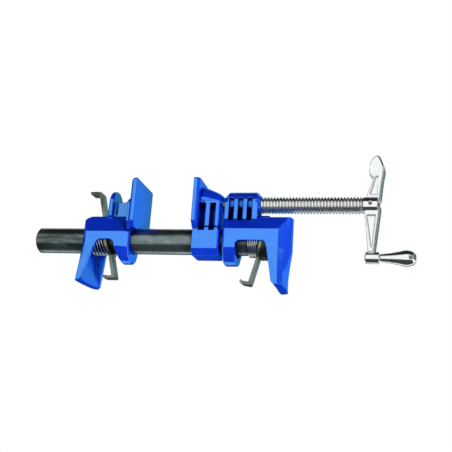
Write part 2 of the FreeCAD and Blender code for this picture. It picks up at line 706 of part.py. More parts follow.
# ---------------------------------------------------------------- screw
screw = new_body("screw", "screw_x", "axis_height + screw_rise")
thread_from = "(head_x - barrel_overhang - 0.6 - screw_x)"
thread_to = "(hub_x - screw_x)"
groove = "(retainer_at - socket_floor - 0.5)"
shaft = [("0", "0"), ("0", "journal_dia / 2 - 1"), ("1", "journal_dia / 2"),
         (groove + " - retainer_dia / 2 - 0.1", "journal_dia / 2"),
         (groove + " - retainer_dia / 2 - 0.1", "groove_dia / 2"),
         (groove + " + retainer_dia / 2 + 0.1", "groove_dia / 2"),
         (groove + " + retainer_dia / 2 + 0.1", "journal_dia / 2"),
         (thread_from, "journal_dia / 2"),
         (thread_from + " + 2", "screw_dia / 2"),
         (thread_to + " - 1.5", "screw_dia / 2"),
         (thread_to + " - 0.2", "screw_dia / 2 - 1.5"),
         (thread_to + " - 0.2", "spigot_dia / 2"),
         (thread_to + " + hub_length + 0.2", "spigot_dia / 2"),
         (thread_to + " + hub_length + 0.6", "spigot_dia / 2 - 0.6"),
         (thread_to + " + hub_length + 0.6", "0")]
turned(outline(screw, "ScrewProfile", "XZ_Plane", shaft), "Shaft")
# the acme thread, simplified to parallel grooves at its pitch
first = thread_from + " + 2 + thread_pitch / 2"
thread = [(first + " - thread_pitch * 0.32", "screw_dia / 2 + 0.1"),
          (first + " - thread_pitch * 0.19", "screw_dia / 2 - thread_depth"),
          (first + " + thread_pitch * 0.19", "screw_dia / 2 - thread_depth"),
          (first + " + thread_pitch * 0.32", "screw_dia / 2 + 0.1")]
thread_groove = turned(outline(screw, "ThreadProfile", "XZ_Plane", thread), "ThreadGroove",
                       "PartDesign::Groove")
doc.recompute()
turns = "floor((%s - 1.5 - (%s + 2)) / thread_pitch)" % (thread_to, thread_from)
threads = screw.newObject("PartDesign::LinearPattern", "Thread")
threads.Originals = [thread_groove]
threads.Direction = (origin_item(screw, "X_Axis"), [""])
threads.setExpression("Length", bound("thread_pitch * (%s - 1)" % turns))
threads.setExpression("Occurrences", bound(turns))
screw.Tip = threads
doc.recompute()
pocket(circle(screw, "ScrewPinHole", "XZ_Plane", thread_to + " + hub_length / 2", "0",
              "hub_pin_dia"), "ScrewPinCut", "screw_dia + 2", both=True)

# ---------------------------------------------------------------- crank
crank = new_body("crank_arm", "hub_x + hub_length / 2", "axis_height + screw_rise")
FOOT_Z = "-(crank_reach - boss_dia / 2 + 1)"
arm = [("10.6", "-hub_dia / 2"), ("arm_foot * 0.74", FOOT_Z), ("-arm_foot * 0.26", FOOT_Z),
       ("-5.5", "-hub_dia / 2"), ("-3.6", "hub_dia / 2"), ("3.2", "paddle_heel - 2.5"),
       ("-0.9", "paddle_heel + 1.5"), ("-0.9", "paddle_top - 9", "arc"),
       ("3", "paddle_top - 1.6"), ("6.2", "paddle_top", "arc"), ("9.8", "paddle_top - 1.4"),
       ("13", "paddle_top - 9.5", "arc"), ("paddle_right", "paddle_heel + 3"),
       ("13.2", "paddle_heel - 6.5"), ("11.4", "hub_dia / 2")]
pad(outline(crank, "ArmOutline", "XZ_Plane", arm), "Arm", "2 * arm_half", both=True)
# the arm's outer side, away from the screw, is rounded over its whole length
dress("PartDesign::Fillet", crank, "ArmRound", "arm_round",
      lambda e: e.BoundBox.YLength < 1e-3 and e.BoundBox.Center.x > value("paddle_right") * 0.4
      + 0.055 * e.BoundBox.Center.z and e.BoundBox.Center.z < value("paddle_top - 0.8")
      and e.BoundBox.ZLength > 3)
pad(circle(crank, "HubCircle", "YZ_Plane", "0", "0", "hub_dia", "-hub_length / 2"), "Hub",
    "hub_length")
pad(circle(crank, "BossCircle", "YZ_Plane", "0", "-crank_reach", "boss_dia",
           "-hub_length / 2 + 3"), "Boss", "boss_length")
for word, face, reversed_cut in (("Near", "arm_half + 1", False),
                                 ("Far", "-(arm_half + 1)", True)):
    recess = new_sketch(crank, "Recess" + word, "XZ_Plane", face)
    add_outline(recess, [
        ("5.2", "-hub_dia / 2 - 2.6"), ("arm_foot * 0.23", FOOT_Z + " + 4.5"),
        ("arm_foot * 0.16", FOOT_Z + " + 4.5"), ("-5.3 + arm_rail", "-hub_dia / 2 - 2.6")])
    add_outline(recess, [
        ("-2.4 + arm_rail", "hub_dia / 2 + 1.8"), ("6.8", "hub_dia / 2 + 1.8"),
        ("7.8", "paddle_heel - 1.5"), ("3.4 + arm_rail", "paddle_heel - 1.5")])
    pocket(recess, "RecessCut" + word, "arm_half + 1 - arm_web_half", back=reversed_cut)
pocket(circle(crank, "SpigotHole", "YZ_Plane", "0", "0", "spigot_dia + 2 * fit_clear",
              "-hub_length"), "SpigotBore", "2 * hub_length", back=True)
pocket(circle(crank, "SpindleHole", "YZ_Plane", "0", "-crank_reach",
              "spindle_dia + 2 * fit_clear", "-hub_length"), "SpindleBore",
       "hub_length + boss_length + 5", back=True)
pocket(circle(crank, "HubPinHole", "XZ_Plane", "0", "0", "hub_pin_dia"), "HubPinCut",
       "hub_dia + 2", both=True)

pin = new_body("crank_pin", "hub_x + hub_length / 2", "axis_height + screw_rise")
pad(circle(pin, "PinCircle", "XZ_Plane", "0", "0", "hub_pin_dia - 2 * fit_clear"),
    "PinRound", "hub_dia - 0.6", both=True)

# ---------------------------------------------------------------- knob and its spindle
knob = new_body("knob", "knob_x", "knob_z")
bore = "spindle_dia / 2 + spin_clear"
grip = [("0", bore), ("0", "knob_neck_dia / 2 - 0.4"), ("0.8", "knob_neck_dia / 2"),
        ("knob_length * 0.32", "knob_neck_dia / 2 + 1.3", "arc"),
        ("knob_length * 0.6", "knob_dia / 2 - 0.75"),
        ("knob_length * 0.76", "knob_dia / 2", "arc"),
        ("knob_length * 0.9", "knob_dia / 2 - 1.1"),
        ("knob_length * 0.985", "knob_dia / 2 - 3.4", "arc"),
        ("knob_length", "spindle_head / 2 + spin_clear + 0.4"),
        ("knob_length - spindle_head_thick - 0.4", "spindle_head / 2 + spin_clear"),
        ("knob_length - spindle_head_thick - 0.4", bore)]
turned(outline(knob, "KnobProfile", "XZ_Plane", grip), "KnobRound")

spindle = new_body("knob_spindle", "knob_x", "knob_z")
tail_end = "-(knob_gap + boss_length)"
rod = [(tail_end + " - spindle_head_thick", "0"),
       (tail_end + " - spindle_head_thick", "spindle_head / 2 - 0.8"),
       (tail_end, "spindle_head / 2"), (tail_end, "spindle_dia / 2"),
       ("knob_length - spindle_head_thick - 0.3", "spindle_dia / 2"),
       ("knob_length - spindle_head_thick - 0.3", "spindle_head / 2"),
       ("knob_length - 0.3", "spindle_head / 2 - 0.5"), ("knob_length - 0.3", "0")]
turned(outline(spindle, "SpindleProfile", "XZ_Plane", rod), "SpindleRound")


# ---------------------------------------------------------------- clutch levers and plates
def clutch_plate(name, x, turn):
    """A flat ring with the grip hole, upright in its own frame and tilted by its placement."""
    body = new_body(name, x, turn=turn)
    ring = [("ring_half", "-ring_flat"), ("ring_half", "ring_flat"), ("0", "ring_up", "arc"),
            ("-ring_half", "ring_flat"), ("-ring_half", "-ring_flat"),
            ("0", "-ring_down", "arc")]
    pad(outline(body, "RingOutline", "YZ_Plane", ring, "-lever_thick / 2"), "Ring",
        "lever_thick")
    pocket(circle(body, "GripCircle", "YZ_Plane", "0", "0", "grip_dia", "-lever_thick"),
           "GripHole", "2 * lever_thick", back=True)
    return body


def lever_arm(body, name, reach, length, lean, down=True, lip="0"):
    """An arm of the plate that ends `reach` from the pipe's axis in a tab bent over towards
    -X; `lean` is the angle that levels the tab once the plate is tilted, and `lip` turns its
    edge back."""
    sign = "-" if down else ""
    start = "ring_down - 2.5" if down else "ring_up - 2.5"
    arm = mirrored([("lever_width / 2", "%s(%s)" % (sign, start)),
                    ("lever_width / 2", "%s(%s - lever_thick)" % (sign, reach))])
    pad(outline(body, name + "ArmOutline", "YZ_Plane", arm, "-lever_thick / 2"), name + "Arm",
        "lever_thick")
    outer = "%s(%s)" % (sign, reach)
    inner = "%s(%s - lever_thick)" % (sign, reach)
    bend = "(%s) * 0.7" % length
    slope = "tan(%s)" % lean
    points = [("lever_thick / 2", inner), ("lever_thick / 2", "%s(%s - 1.2)" % (sign, reach)),
              ("lever_thick / 2 - 1.2", outer),
              ("-%s" % bend, "%s + %s * %s" % (outer, bend, slope)),
              ("-(%s)" % length, "%s + %s * %s + %s" % (outer, length, slope, lip)),
              ("-(%s)" % length, "%s + %s * %s + %s" % (inner, length, slope, lip)),
              ("-%s" % bend, "%s + %s * %s" % (inner, bend, slope)),
              ("-lever_thick / 2", inner)]
    pad(outline(body, name + "Profile", "XZ_Plane", points), name + "Tab", "lever_width",
        both=True)


tail_lever = clutch_plate("tail_clutch_lever", "tail_lever_x", "-clutch_tilt")
lever_arm(tail_lever, "Top", "tail_lever_up", "tail_tab", "clutch_tilt * 1 deg", down=False)
lever_arm(tail_lever, "Bottom", "tail_lever_down", "tail_tab", "clutch_tilt * 1 deg")
head_lever = clutch_plate("head_clutch_lever", "head_lever_x", "clutch_tilt")
lever_arm(head_lever, "Bottom", "head_lever_down", "head_tab", "-clutch_tilt * 0.4 deg",
          lip="tab_lip")
for number in (1, 2):
    step = "%d * (lever_thick + stack_gap)" % number
    clutch_plate("head_clutch_plate_%d" % number,
                 "head_lever_x + %s / cos(clutch_tilt * 1 deg)" % step, "clutch_tilt")


# ---------------------------------------------------------------- clutch springs
def clutch_spring(name, seat_x, lever_x, lean):
    """A coil spring round the pipe, from its seat towards +X to the lever, whose slope is
    `lean`. It is a chain of half turns that lie over more and more towards the lever."""
    wire = value("spring_wire")
    radius = value("spring_radius")
    coils = round(value("spring_coils"))
    start = wire / 2 + value("stack_gap")
    end = (lever_x - seat_x - value("stack_gap")
           - (wire + value("lever_thick")) / 2 * math.hypot(1, lean))

    def crossing(half_turn):
        """Where the wire crosses the plane of symmetry, above and below by turns."""
        share = half_turn / (2 * coils)
        z = radius if half_turn % 2 == 0 else -radius
        return V(start + (end - start) * share + lean * share * z, 0, z)

    arcs = []
    for half_turn in range(2 * coils):
        here, following = crossing(half_turn), crossing(half_turn + 1)
        bow = here.distanceToPoint(following) / 2
        side = -bow if half_turn % 2 == 0 else bow
        arcs.append(Part.Arc(here, (here + following) / 2 + V(0, side, 0), following).toShape())
    rail = Part.Wire(arcs)
    section = Part.Wire([Part.makeCircle(wire / 2, crossing(0), V(0, 1, 0))])
    coil = rail.makePipeShell([section], True, False)
    feature = doc.addObject("Part::Feature", name)
    feature.Label = name
    feature.Shape = coil
    feature.Placement = FreeCAD.Placement(V(seat_x, 0, value("axis_height")),
                                          FreeCAD.Rotation())


SLOPE = value("tan(clutch_tilt * 1 deg)")
clutch_spring("head_clutch_spring", value("head_x + head_seat"), value("head_lever_x"), SLOPE)
clutch_spring("tail_clutch_spring", value("tail_x - tail_hollow_end"), value("tail_lever_x"),
              -SLOPE)

# ---------------------------------------------------------------- check and export
doc.recompute()
for item in doc.Objects:
    if "Invalid" in item.State or "Error" in item.State:
        raise ValueError("%s is in error" % item.Name)
os.makedirs("parts", exist_ok=True)
NODES = ["pipe", "tail_casting", "tail_clutch_lever", "tail_clutch_spring", "head_casting",
         "head_clutch_lever", "head_clutch_plate_1", "head_clutch_plate_2",
         "head_clutch_spring", "sliding_jaw", "screw_retaining_pins", "screw", "crank_arm",
         "crank_pin", "knob_spindle", "knob"]
for node in NODES:
    shape = doc.getObjectsByLabel(node)[0].Shape
    if shape.isNull() or not shape.isValid():
        raise ValueError("%s has no valid shape" % node)
    box = shape.BoundBox
    print("%-22s %d solid %9.1f mm3  x %.1f..%.1f  y %.1f..%.1f  z %.1f..%.1f" % (
        node, len(shape.Solids), shape.Volume, box.XMin, box.XMax, box.YMin, box.YMax,
        box.ZMin, box.ZMax))
    shape.exportStep("parts/%s.step" % node)
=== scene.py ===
"""Looks of the woodworking pipe clamp: materials, the screw's thread, light and camera."""
import json
import math

import bpy
from mathutils import Matrix, Vector


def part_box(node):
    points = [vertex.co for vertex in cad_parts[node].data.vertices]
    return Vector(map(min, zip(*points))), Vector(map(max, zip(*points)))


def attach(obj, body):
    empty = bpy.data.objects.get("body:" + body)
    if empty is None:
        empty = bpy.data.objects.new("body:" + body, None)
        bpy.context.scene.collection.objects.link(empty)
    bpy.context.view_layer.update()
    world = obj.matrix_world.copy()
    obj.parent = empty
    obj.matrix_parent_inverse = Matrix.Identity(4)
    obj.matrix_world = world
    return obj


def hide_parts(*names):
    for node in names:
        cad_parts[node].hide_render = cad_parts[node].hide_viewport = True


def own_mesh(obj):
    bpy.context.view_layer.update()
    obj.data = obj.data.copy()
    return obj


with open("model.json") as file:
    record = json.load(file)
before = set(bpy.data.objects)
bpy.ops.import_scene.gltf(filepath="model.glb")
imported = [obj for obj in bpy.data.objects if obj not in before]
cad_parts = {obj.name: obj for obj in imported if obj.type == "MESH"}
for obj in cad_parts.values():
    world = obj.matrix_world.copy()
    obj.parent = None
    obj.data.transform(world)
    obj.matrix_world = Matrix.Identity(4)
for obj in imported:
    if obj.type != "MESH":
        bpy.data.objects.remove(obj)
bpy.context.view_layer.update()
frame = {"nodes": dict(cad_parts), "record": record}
MM = 0.001
WHITE = (1, 1, 1, 1)


# ---------------------------------------------------------------- node helpers
class Finish:
    """A material under construction: short names for the few nodes that the finishes use."""

    def __init__(self, name):
        self.material = bpy.data.materials.new(name)
        self.material.use_nodes = True
        self.tree = self.material.node_tree
        self.shader = self.tree.nodes["Principled BSDF"]
        self.coords = self.node("ShaderNodeTexCoord").outputs["Object"]

    def node(self, kind, **settings):
        made = self.tree.nodes.new(kind)
        for name, setting in settings.items():
            setattr(made, name, setting)
        return made

    def put(self, socket, given):
        """Links a socket to the given one, or sets it to the given number or colour."""
        if isinstance(given, bpy.types.NodeSocket):
            self.tree.links.new(given, socket)
        else:
            socket.default_value = given

    def stretched(self, sx, sy, sz):
        """Object coordinates scaled by axis, to draw streaks out along one of them."""
        made = self.node("ShaderNodeMapping")
        self.put(made.inputs["Vector"], self.coords)
        made.inputs["Scale"].default_value = (sx, sy, sz)
        return made.outputs["Vector"]

    def noise(self, scale, detail=3.0, rough=0.55, coords=None, warp=0.0):
        made = self.node("ShaderNodeTexNoise")
        self.put(made.inputs["Vector"], coords or self.coords)
        made.inputs["Scale"].default_value = scale
        made.inputs["Detail"].default_value = detail
        made.inputs["Roughness"].default_value = rough
        made.inputs["Distortion"].default_value = warp
        return made.outputs["Fac"]

    def remap(self, given, low, high, to_low=0.0, to_high=1.0):
        """Carries the range low to high over to another one, and clamps what lies outside."""
        made = self.node("ShaderNodeMapRange", clamp=True)
        self.put(made.inputs["Value"], given)
        for name, number in (("From Min", low), ("From Max", high),
                             ("To Min", to_low), ("To Max", to_high)):
            made.inputs[name].default_value = number
        return made.outputs["Result"]

    def math(self, operation, a, b=0.0):
        made = self.node("ShaderNodeMath", operation=operation)
        self.put(made.inputs[0], a)
        self.put(made.inputs[1], b)
        return made.outputs[0]

    def times(self, a, b):
        return self.math("MULTIPLY", a, b)

    def above(self, given, level):
        """1 where the given value is above the level, and 0 elsewhere."""
        return self.math("GREATER_THAN", given, level)

    def mix(self, factor, a, b):
        """Colour a where the factor is 0, and colour b where it is 1."""
        made = self.node("ShaderNodeMix", data_type="RGBA")
        self.put(made.inputs[0], factor)
        self.put(made.inputs[6], a)
        self.put(made.inputs[7], b)
        return made.outputs[2]

    def edges(self, radius, samples=6):
        """Rounded normals, and a mask that is 1 along the convex and concave edges."""
        level_flat = 0.995
        level_edge = 0.9
        rounded = self.node("ShaderNodeBevel", samples=samples)
        rounded.inputs["Radius"].default_value = radius
        plain = self.node("ShaderNodeNewGeometry").outputs["Normal"]
        dot = self.node("ShaderNodeVectorMath", operation="DOT_PRODUCT")
        self.put(dot.inputs[0], rounded.outputs["Normal"])
        self.put(dot.inputs[1], plain)
        mask = self.remap(dot.outputs["Value"], level_flat, level_edge)
        return rounded.outputs["Normal"], mask

    def hollows(self, reach, low, high, own=True):
        """An ambient occlusion mask that is 1 down in slots, pockets and corners, the piece's
        own or all; the finishes paint shade with it.
        """
        made = self.node("ShaderNodeAmbientOcclusion", samples=8, only_local=own)
        made.inputs["Distance"].default_value = reach
        return self.remap(made.outputs["AO"], high, low)

    def bump(self, height, distance, normal=None, strength=1.0):
        made = self.node("ShaderNodeBump")
        made.inputs["Strength"].default_value = strength
        made.inputs["Distance"].default_value = distance
        self.put(made.inputs["Height"], height)
        if normal:
            self.put(made.inputs["Normal"], normal)
        return made.outputs["Normal"]

    def done(self, color, roughness, normal, **fixed):
        """Joins the maps to the shader. What is the same all over goes on its own sockets."""
        self.put(self.shader.inputs["Base Color"], color)
        self.put(self.shader.inputs["Roughness"], roughness)
        self.put(self.shader.inputs["Normal"], normal)
        for name, setting in fixed.items():
            self.shader.inputs[name.replace("_", " ")].default_value = setting
        return self.material


# ---------------------------------------------------------------- finishes
def blue_enamel():
    """Glossy blue, with painted shade near walls and deep in the hollows, and a painted
    highlight along the edges.
    """
    deep_blue = (0.0008, 0.024, 0.72, 1)
    full_blue = (0.0015, 0.036, 0.86, 1)
    lee_shade_blue = (0.0004, 0.010, 0.28, 1)
    hollow_shade_blue = (0.0003, 0.002, 0.05, 1)
    edge_highlight_blue = (0.005, 0.14, 0.92, 1)
    speck_blue = (0.002, 0.02, 0.26, 1)
    bare_iron = (0.02, 0.022, 0.03, 1)

    f = Finish("blue_enamel")
    normal, edge = f.edges(0.9 * MM)
    wash = f.remap(f.noise(55, detail=4, rough=0.6), 0.35, 0.65)
    color = f.mix(wash, deep_blue, full_blue)
    # painted shade: darker where walls and pockets screen a wide reach
    lee_shade = f.times(f.hollows(28 * MM, 0.4, 0.9), 0.65)
    color = f.mix(lee_shade, color, lee_shade_blue)
    # painted shade: almost black down in slots, pockets and corners
    hollow = f.hollows(9 * MM, 0.25, 0.85)
    color = f.mix(hollow, color, hollow_shade_blue)
    # painted highlight: paler blue lines along the edges
    edge_highlight = f.times(edge, f.remap(f.noise(240), 0.42, 0.62, 0.15, 0.6))
    color = f.mix(edge_highlight, color, edge_highlight_blue)
    specks = f.above(f.noise(1500, detail=2), 0.735)
    chips = f.times(edge, f.above(f.noise(420, detail=4, rough=0.65), 0.70))
    color = f.mix(f.times(specks, 0.35), color, speck_blue)
    color = f.mix(chips, color, bare_iron)
    gloss = f.remap(f.noise(130, detail=4), 0.3, 0.7, 0.10, 0.22)
    roughness = f.math("ADD", gloss, f.times(chips, 0.35))
    normal = f.bump(f.noise(85, detail=2, rough=0.4), 0.5 * MM, normal, 0.35)
    normal = f.bump(f.noise(900, detail=2, rough=0.5), 0.05 * MM, normal, 0.5)
    # down in the hollows an almost black metal takes the gloss away: painted shade on the
    # reflections as well
    f.put(f.shader.inputs["Metallic"], f.remap(hollow, 0.15, 0.6))
    return f.done(color, roughness, normal, IOR=2.8, Specular_IOR_Level=1.0,
                  Specular_Tint=(0.17, 0.62, 1.0, 1.0))


def black_pipe_steel():
    """Mill finish: streaks along the pipe, pale patches, dark scale and a little rust, with
    painted shade where other pieces come close.
    """
    streak_dark = (0.065, 0.085, 0.065, 1)
    streak_pale = (0.36, 0.46, 0.50, 1)
    patch_pale = (0.40, 0.48, 0.50, 1)
    scale_dark = (0.030, 0.042, 0.020, 1)
    rust_brown = (0.075, 0.065, 0.03, 1)
    shade_black = (0.006, 0.008, 0.007, 1)
    edge_grey = (0.32, 0.33, 0.31, 1)

    f = Finish("black_pipe_steel")
    normal, edge = f.edges(0.5 * MM)
    streaks = f.noise(60, detail=5, rough=0.65, coords=f.stretched(0.12, 1.6, 1.6), warp=0.6)
    patches = f.noise(38, detail=5, rough=0.6, coords=f.stretched(0.6, 1, 1), warp=0.8)
    color = f.mix(f.remap(streaks, 0.3, 0.72), streak_dark, streak_pale)
    color = f.mix(f.remap(patches, 0.5, 0.72, 0, 0.55), color, patch_pale)
    scale = f.noise(26, detail=5, rough=0.65, coords=f.stretched(0.5, 1, 1), warp=1.0)
    color = f.mix(f.remap(scale, 0.5, 0.62, 0, 0.75), color, scale_dark)
    rust = f.times(f.remap(f.noise(150, detail=4, rough=0.6), 0.6, 0.72), 0.35)
    color = f.mix(rust, color, rust_brown)
    # painted shade: near black where the castings and other pieces come close
    color = f.mix(f.hollows(18 * MM, 0.4, 0.95, own=False), color, shade_black)
    color = f.mix(f.times(edge, 0.5), color, edge_grey)
    roughness = f.remap(streaks, 0.3, 0.7, 0.34, 0.21)
    normal = f.bump(streaks, 0.10 * MM, normal, 0.5)
    normal = f.bump(f.noise(700, rough=0.6), 0.04 * MM, normal, 0.5)
    return f.done(color, roughness, normal, Metallic=0.95)


def zinc_plated_steel():
    """Greenish zinc, streaked up and down, worn along the edges and a little grimy."""
    zinc_dark = (0.065, 0.078, 0.050, 1)
    zinc_pale = (0.27, 0.30, 0.24, 1)
    edge_bright = (0.62, 0.65, 0.58, 1)
    grime_brown = (0.17, 0.17, 0.12, 1)

    f = Finish("zinc_plated_steel")
    normal, edge = f.edges(0.5 * MM)
    flow = f.noise(60, detail=5, rough=0.6, coords=f.stretched(1, 1, 0.3), warp=0.5)
    color = f.mix(f.remap(flow, 0.35, 0.65), zinc_dark, zinc_pale)
    color = f.mix(f.times(edge, 0.45), color, edge_bright)
    grime = f.remap(f.noise(240, detail=5, rough=0.7), 0.56, 0.75, 0, 0.5)
    color = f.mix(grime, color, grime_brown)
    roughness = f.remap(flow, 0.3, 0.7, 0.38, 0.24)
    grain = f.noise(600, detail=4, rough=0.6, coords=f.stretched(1, 1, 0.25))
    normal = f.bump(grain, 0.05 * MM, normal, 0.6)
    return f.done(color, roughness, normal, Metallic=0.9)


def blackened_steel():
    """Black oxide, rubbed bright along the edges."""
    oxide_dark = (0.012, 0.013, 0.014, 1)
    oxide_pale = (0.035, 0.036, 0.038, 1)
    rubbed_steel = (0.33, 0.34, 0.34, 1)

    f = Finish("blackened_steel")
    normal, edge = f.edges(0.35 * MM)
    cloud = f.noise(160, detail=5, rough=0.6)
    color = f.mix(f.remap(cloud, 0.3, 0.7), oxide_dark, oxide_pale)
    rubbed = f.times(edge, f.remap(f.noise(500), 0.35, 0.6, 0.2, 0.9))
    color = f.mix(rubbed, color, rubbed_steel)
    normal = f.bump(f.noise(800), 0.03 * MM, normal, 0.5)
    roughness = f.remap(cloud, 0.3, 0.7, 0.34, 0.22)
    return f.done(color, roughness, normal, Metallic=0.55)


def spring_steel():
    """Bright drawn wire with a few stains."""
    wire_dark = (0.66, 0.68, 0.68, 1)
    wire_pale = (0.86, 0.87, 0.86, 1)
    stain_brown = (0.30, 0.29, 0.25, 1)

    f = Finish("spring_steel")
    drawn = f.noise(500, detail=4, rough=0.6, coords=f.stretched(3, 0.5, 0.5))
    color = f.mix(f.remap(drawn, 0.3, 0.7), wire_dark, wire_pale)
    stain = f.remap(f.noise(180, detail=4), 0.58, 0.75, 0, 0.5)
    color = f.mix(stain, color, stain_brown)
    roughness = f.remap(drawn, 0.3, 0.7, 0.12, 0.24)
    normal = f.bump(drawn, 0.02 * MM, None, 0.5)
    return f.done(color, roughness, normal, Metallic=1.0)


def nickel_screw_steel(axis_z, crest, root):
    """Bright crests, with patchy painted shade down in the groove of the thread."""
    nickel_dark = (0.82, 0.84, 0.82, 1)
    nickel_pale = (0.97, 0.98, 0.96, 1)
    groove_shade_grey = (0.36, 0.37, 0.34, 1)

    f = Finish("nickel_screw_steel")
    split = f.node("ShaderNodeSeparateXYZ")
    f.put(split.inputs[0], f.coords)
    up = f.math("SUBTRACT", split.outputs["Z"], axis_z)
    across = f.math("POWER", split.outputs["Y"], 2.0)
    radius = f.math("SQRT", f.math("ADD", across, f.math("POWER", up, 2.0)))
    depth = f.remap(radius, crest - 0.15 * MM, root + 0.1 * MM)
    wear = f.noise(420, detail=5, rough=0.65, coords=f.stretched(2, 0.7, 0.7))
    color = f.mix(f.remap(wear, 0.3, 0.7), nickel_dark, nickel_pale)
    # painted shade: patchy and darker down in the thread's groove
    groove_shade = f.times(depth, f.remap(f.noise(150), 0.3, 0.65, 0.2, 0.55))
    color = f.mix(groove_shade, color, groove_shade_grey)
    worn = f.remap(wear, 0.3, 0.7, 0.20, 0.33)
    roughness = f.math("ADD", worn, f.times(depth, 0.15))
    normal = f.bump(wear, 0.03 * MM, None, 0.5)
    return f.done(color, roughness, normal, Metallic=1.0)


def bright_chrome():
    """Polished chrome over a surface that isn't quite flat."""
    chrome_pale = (0.94, 0.96, 0.96, 1)
    chrome_dark = (0.85, 0.88, 0.88, 1)
    edge_pale = (0.95, 0.95, 0.95, 1)

    f = Finish("bright_chrome")
    normal, edge = f.edges(1.7 * MM)
    haze = f.noise(120, detail=4, rough=0.6)
    color = f.mix(f.remap(haze, 0.35, 0.7), chrome_pale, chrome_dark)
    color = f.mix(f.times(edge, 0.25), color, edge_pale)
    roughness = f.remap(haze, 0.3, 0.7, 0.045, 0.10)
    normal = f.bump(f.noise(70, detail=2, rough=0.4), 0.25 * MM, normal, 0.3)
    normal = f.bump(f.noise(1100, detail=2), 0.01 * MM, normal, 0.4)
    return f.done(color, roughness, normal, Metallic=1.0)


# ---------------------------------------------------------------- the screw with its thread
PITCH = 3.175 * MM
CREST_R = 8.5 * MM
ROOT_R = 6.9 * MM
CREST_FLAT = 0.46                       # as a part of the pitch
FLANK = 0.13                            # as a part of the pitch
LEAD_IN = 3 * MM                        # where the thread rises out of the journal
LEAD_OUT = 1.5 * MM                     # where it falls towards the hub
THREAD_PAST_HEAD = 0.6 * MM             # it starts this far outside the head's face
JOURNAL_R = 5.5 * MM                    # what turns in the jaw
JOURNAL_NOSE_R = 4.5 * MM
JOURNAL_CHAMFER = 1 * MM
PIN_GROOVE_R = 4.0 * MM                 # the jaw's two pins run in this groove
PIN_GROOVE_FROM = 15.9 * MM             # measured from the jaw's pressing face
PIN_GROOVE_TO = 19.1 * MM
SHOULDER_R = 7.0 * MM
SPIGOT_R = 5.0 * MM                     # what the crank's hub is pinned to
SPIGOT_END_R = 4.4 * MM
SPIGOT_CHAMFER = 0.6 * MM
HUB_LENGTH = 14.8 * MM                  # of the screw, inside the crank's hub
HUB_GAP = 0.2 * MM
AROUND = 72                             # points round the screw
RINGS_PER_PITCH = 18
SHARP_ANGLE = 32                        # degrees

low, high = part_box("screw")
axis_z = (low[2] + high[2]) / 2
x_start = low[0]
x_end = high[0]
jaw_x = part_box("sliding_jaw")[0][0]
hub_x = x_end - HUB_LENGTH
thread_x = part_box("head_casting")[0][0] - THREAD_PAST_HEAD
thread_end = hub_x - HUB_GAP
fade_x = hub_x - LEAD_OUT

# (place along the screw, radius) of the plain rings before the thread, and after it
JOURNAL = [(x_start, 0.0), (x_start, JOURNAL_NOSE_R), (x_start + JOURNAL_CHAMFER, JOURNAL_R),
           (jaw_x + PIN_GROOVE_FROM, JOURNAL_R), (jaw_x + PIN_GROOVE_FROM, PIN_GROOVE_R),
           (jaw_x + PIN_GROOVE_TO, PIN_GROOVE_R), (jaw_x + PIN_GROOVE_TO, JOURNAL_R),
           (thread_x, JOURNAL_R)]
SPIGOT = [(thread_end, SHOULDER_R), (thread_end, SPIGOT_R), (x_end - SPIGOT_CHAMFER, SPIGOT_R),
          (x_end, SPIGOT_END_R), (x_end, 0.0)]


def thread_radius(along, turn):
    """The acme thread's radius: a right-hand helix about +X."""
    phase = (along / PITCH - turn / (2 * math.pi)) % 1.0
    fall = (abs(phase - 0.5) - CREST_FLAT / 2) / FLANK
    radius = CREST_R - (CREST_R - ROOT_R) * min(max(fall, 0.0), 1.0)
    lead_in = CREST_R - max(0.0, thread_x + LEAD_IN - along)
    lead_out = CREST_R - max(0.0, along - fade_x)
    return min(radius, max(lead_in, JOURNAL_R), lead_out)


def ring_radii(place, plain_radius):
    """The radius at each point round one ring. Without a plain radius it is the thread's."""
    turns = [2 * math.pi * i / AROUND for i in range(AROUND)]
    if plain_radius is None:
        return [(turn, thread_radius(place, turn)) for turn in turns]
    return [(turn, plain_radius) for turn in turns]


def tube_faces(ring_count):
    """The quads that join each ring to the next."""
    faces = []
    for k in range(ring_count - 1):
        for i in range(AROUND):
            a = k * AROUND + i
            b = k * AROUND + (i + 1) % AROUND
            faces.append((a, b, b + AROUND, a + AROUND))
    return faces


def screw_piece():
    """The whole screw as one tube of rings: the journal, the thread and the spigot."""
    step = PITCH / RINGS_PER_PITCH
    count = int((thread_end - thread_x) / step)
    thread = [(thread_x + step * i, None) for i in range(1, count)]
    rings = JOURNAL + thread + SPIGOT
    verts = []
    for place, plain_radius in rings:
        for turn, radius in ring_radii(place, plain_radius):
            verts.append((place, radius * math.cos(turn), axis_z + radius * math.sin(turn)))
    mesh = bpy.data.meshes.new("threaded_screw")
    mesh.from_pydata(verts, [], tube_faces(len(rings)))
    mesh.validate()
    made = bpy.data.objects.new("threaded_screw", mesh)
    bpy.context.scene.collection.objects.link(made)
    mesh.shade_smooth()
    mesh.set_sharp_from_angle(angle=math.radians(SHARP_ANGLE))
    return made


threaded = screw_piece()
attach(threaded, "screw")
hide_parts("screw")


def clutch_spring(name, node, body):
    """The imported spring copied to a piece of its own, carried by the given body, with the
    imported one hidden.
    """
    packed = frame["nodes"][node]
    made = bpy.data.objects.new(name, packed.data.copy())
    made.matrix_world = packed.matrix_world
    bpy.context.scene.collection.objects.link(made)
    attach(made, body)
    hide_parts(node)
    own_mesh(made)
    return made


springs = [clutch_spring("tail_spring_wire", "tail_clutch_spring", "tail"),
           clutch_spring("head_spring_wire", "head_clutch_spring", "head")]

